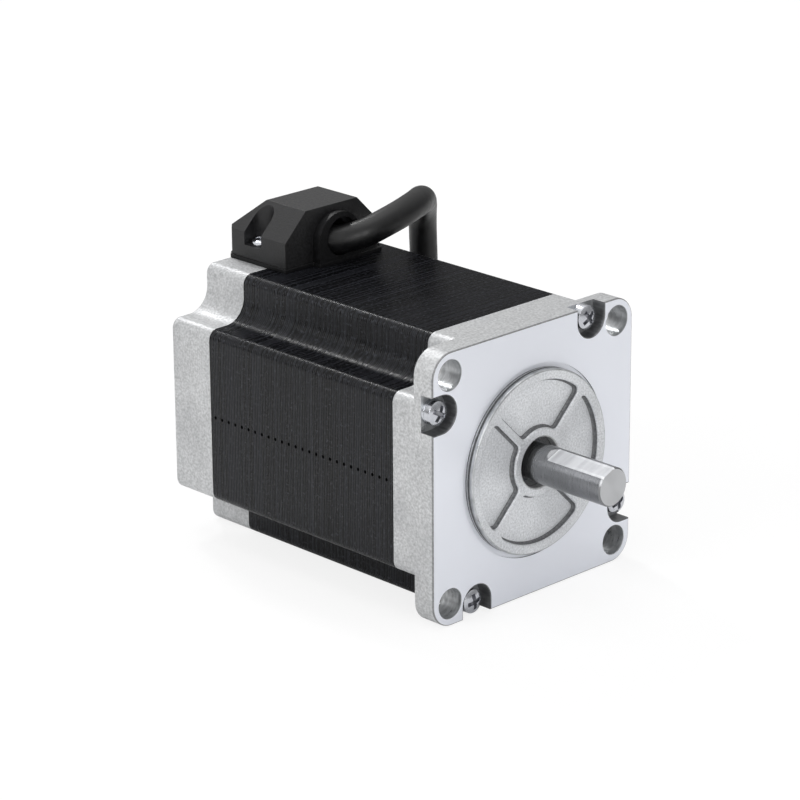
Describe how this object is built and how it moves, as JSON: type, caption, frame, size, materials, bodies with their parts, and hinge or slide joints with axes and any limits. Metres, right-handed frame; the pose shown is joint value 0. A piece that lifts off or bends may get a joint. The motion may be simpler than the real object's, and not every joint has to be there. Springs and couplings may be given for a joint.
{
  "type": "stepper motor",
  "caption": "Hybrid stepper motor with a square mounting flange, a locating boss, a round shaft with a flat, and a black terminal cover with one cable.",
  "frame": {"origin": "centre of the flange's mounting face, on the shaft axis", "axes": "+X along the shaft, out of the mounting face; +Z towards the terminal cover; +Y completes the right-handed frame"},
  "size_m": [0.1298, 0.0913, 0.0686],
  "materials": {
    "cover_casting": "fine-cast, mounting face machined",
    "lamination_stack": "black, laminated",
    "insulator_nylon": "moulded",
    "winding_copper": "enamelled copper wire",
    "board_laminate": "glass-fibre board",
    "zinc_steel": "bright zinc plate",
    "shaft_steel": "ground",
    "rotor_steel": "laminated, ground",
    "magnet": "sintered magnet",
    "bearing_steel": "ground and polished",
    "cage_steel": "pressed",
    "seal_rubber": "moulded",
    "spring_steel": "hardened",
    "cover_plastic": "fine texture",
    "gasket_rubber": "moulded",
    "tie_nylon": "moulded",
    "cable_jacket": "smooth jacket",
    "sleeve": "shrunk on",
    "lead_black": "insulation",
    "lead_green": "insulation",
    "lead_red": "insulation",
    "lead_blue": "insulation",
    "tinned_copper": "tinned"
  },
  "bodies": {
    "housing": {"front_cover": "cover_casting", "rear_cover": "cover_casting", "stator_core": "lamination_stack", "front_insulator": "insulator_nylon", "rear_insulator": "insulator_nylon", "coil_1": "winding_copper", "coil_2": "winding_copper", "coil_3": "winding_copper", "coil_4": "winding_copper", "coil_5": "winding_copper", "coil_6": "winding_copper", "coil_7": "winding_copper", "coil_8": "winding_copper", "connection_board": "board_laminate", "body_screws": "zinc_steel", "lock_washers": "zinc_steel", "cover_screws": "zinc_steel", "front_outer_ring": "bearing_steel", "rear_outer_ring": "bearing_steel", "front_seals": "seal_rubber", "rear_seals": "seal_rubber", "wave_washer": "spring_steel", "terminal_cover": "cover_plastic", "terminal_gasket": "gasket_rubber", "cable_gland": "gasket_rubber", "cable_tie": "tie_nylon", "cable": "cable_jacket", "cable_sleeve": "sleeve", "inner_lead_1": "lead_black", "flying_lead_1": "lead_black", "inner_lead_2": "lead_green", "flying_lead_2": "lead_green", "inner_lead_3": "lead_red", "flying_lead_3": "lead_red", "inner_lead_4": "lead_blue", "flying_lead_4": "lead_blue", "lead_tips": "tinned_copper"},
    "rotor": {"shaft": "shaft_steel", "rotor_cup_front": "rotor_steel", "rotor_magnet": "magnet", "rotor_cup_rear": "rotor_steel", "front_inner_ring": "bearing_steel", "rear_inner_ring": "bearing_steel"},
    "front_ball_train": {"front_balls": "bearing_steel", "front_cage": "cage_steel"},
    "rear_ball_train": {"rear_balls": "bearing_steel", "rear_cage": "cage_steel"}
  },
  "joints": [
    {"name": "rotor_spin", "type": "hinge", "parent": "housing", "child": "rotor", "pos_m": [0, 0, 0], "axis": [1, 0, 0], "continuous": true},
    {"name": "front_balls_spin", "type": "hinge", "parent": "housing", "child": "front_ball_train", "pos_m": [-0.0065, 0, 0], "axis": [1, 0, 0], "continuous": true},
    {"name": "rear_balls_spin", "type": "hinge", "parent": "housing", "child": "rear_ball_train", "pos_m": [-0.07, 0, 0], "axis": [1, 0, 0], "continuous": true}
  ],
  "couplings": [
    {"joint": "front_balls_spin", "follows": "rotor_spin", "ratio": 0.3677},
    {"joint": "rear_balls_spin", "follows": "rotor_spin", "ratio": 0.3677}
  ]
}
